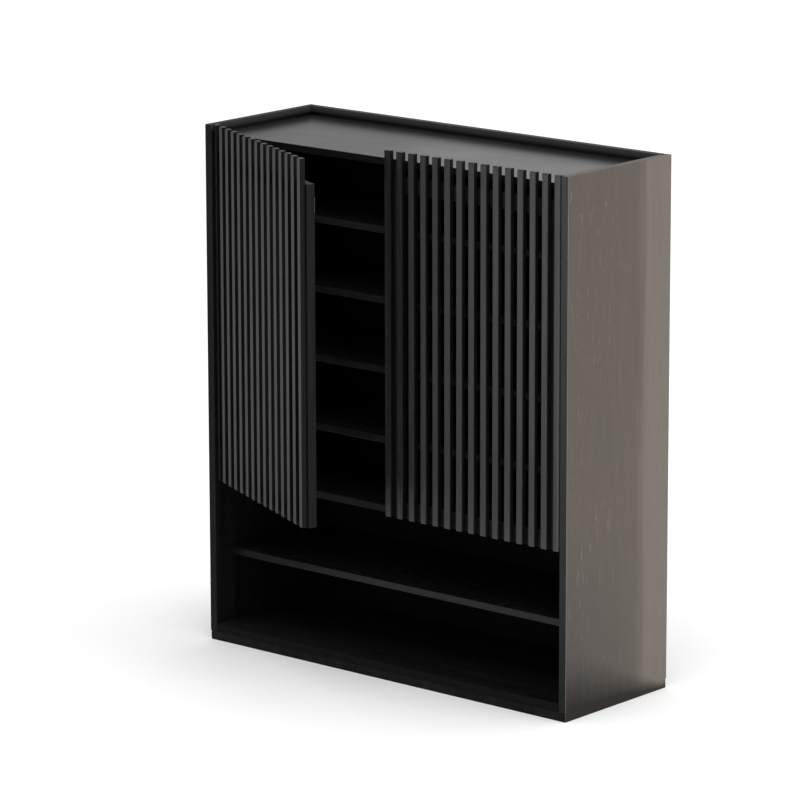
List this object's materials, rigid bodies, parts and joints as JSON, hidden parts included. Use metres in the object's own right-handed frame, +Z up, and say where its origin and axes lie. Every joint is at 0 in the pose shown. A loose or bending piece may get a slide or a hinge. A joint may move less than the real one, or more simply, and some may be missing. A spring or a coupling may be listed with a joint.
{
  "type": "shoe cabinet",
  "caption": "Tall shallow shoe cabinet: slatted hinged doors over divided shelves, open shelves below and a sunken tray top on a low plinth.",
  "frame": {"origin": "on the floor, at the centre of the plinth's footprint, on the underside of its middle bearer", "axes": "+Z up, -Y out of the front, +X to the right when facing the front"},
  "size_m": [1, 0.5328, 1.149],
  "materials": {
    "panel_black": "satin black melamine-faced board",
    "side_brown": "dark grey-brown vertical wood grain, satin",
    "slat_black": "satin black laminated wood",
    "back_black": "matt black thin board",
    "hinge_steel": "satin",
    "catch_black": "matt"
  },
  "bodies": {
    "cabinet": {"side_panel_left": "side_brown", "side_panel_right": "side_brown", "top_panel": "panel_black", "back_rail": "panel_black", "bottom_panel": "panel_black", "compartment_floor": "panel_black", "open_shelf": "panel_black", "centre_partition": "panel_black", "back_panel": "back_black", "shelf_left_1": "panel_black", "shelf_left_2": "panel_black", "shelf_left_3": "panel_black", "shelf_left_4": "panel_black", "shelf_right_1": "panel_black", "shelf_right_2": "panel_black", "shelf_right_3": "panel_black", "shelf_right_4": "panel_black", "plinth": "panel_black", "magnetic_catch_left": "catch_black", "magnetic_catch_right": "catch_black", "hinge_arm_left_lower": "hinge_steel", "hinge_arm_left_upper": "hinge_steel", "hinge_arm_right_lower": "hinge_steel", "hinge_arm_right_upper": "hinge_steel"},
    "door_left": {"door_frame_left": "slat_black", "slat_left_01": "slat_black", "slat_left_02": "slat_black", "slat_left_03": "slat_black", "slat_left_04": "slat_black", "slat_left_05": "slat_black", "slat_left_06": "slat_black", "slat_left_07": "slat_black", "slat_left_08": "slat_black", "slat_left_09": "slat_black", "slat_left_10": "slat_black", "slat_left_11": "slat_black", "slat_left_12": "slat_black", "slat_left_13": "slat_black", "slat_left_14": "slat_black", "slat_left_15": "slat_black", "hinge_leaf_left_lower": "hinge_steel", "hinge_leaf_left_upper": "hinge_steel"},
    "door_right": {"door_frame_right": "slat_black", "slat_right_01": "slat_black", "slat_right_02": "slat_black", "slat_right_03": "slat_black", "slat_right_04": "slat_black", "slat_right_05": "slat_black", "slat_right_06": "slat_black", "slat_right_07": "slat_black", "slat_right_08": "slat_black", "slat_right_09": "slat_black", "slat_right_10": "slat_black", "slat_right_11": "slat_black", "slat_right_12": "slat_black", "slat_right_13": "slat_black", "slat_right_14": "slat_black", "slat_right_15": "slat_black", "hinge_leaf_right_lower": "hinge_steel", "hinge_leaf_right_upper": "hinge_steel"}
  },
  "joints": [
    {"name": "left_door_hinge", "type": "hinge", "parent": "cabinet", "child": "door_left", "pos_m": [-0.462, -0.15575, 0.743], "axis": [0, 0, -1], "range_deg": [-25, 65]},
    {"name": "right_door_hinge", "type": "hinge", "parent": "cabinet", "child": "door_right", "pos_m": [0.462, -0.15575, 0.743], "axis": [0, 0, 1], "range_deg": [0, 90]}
  ]
}
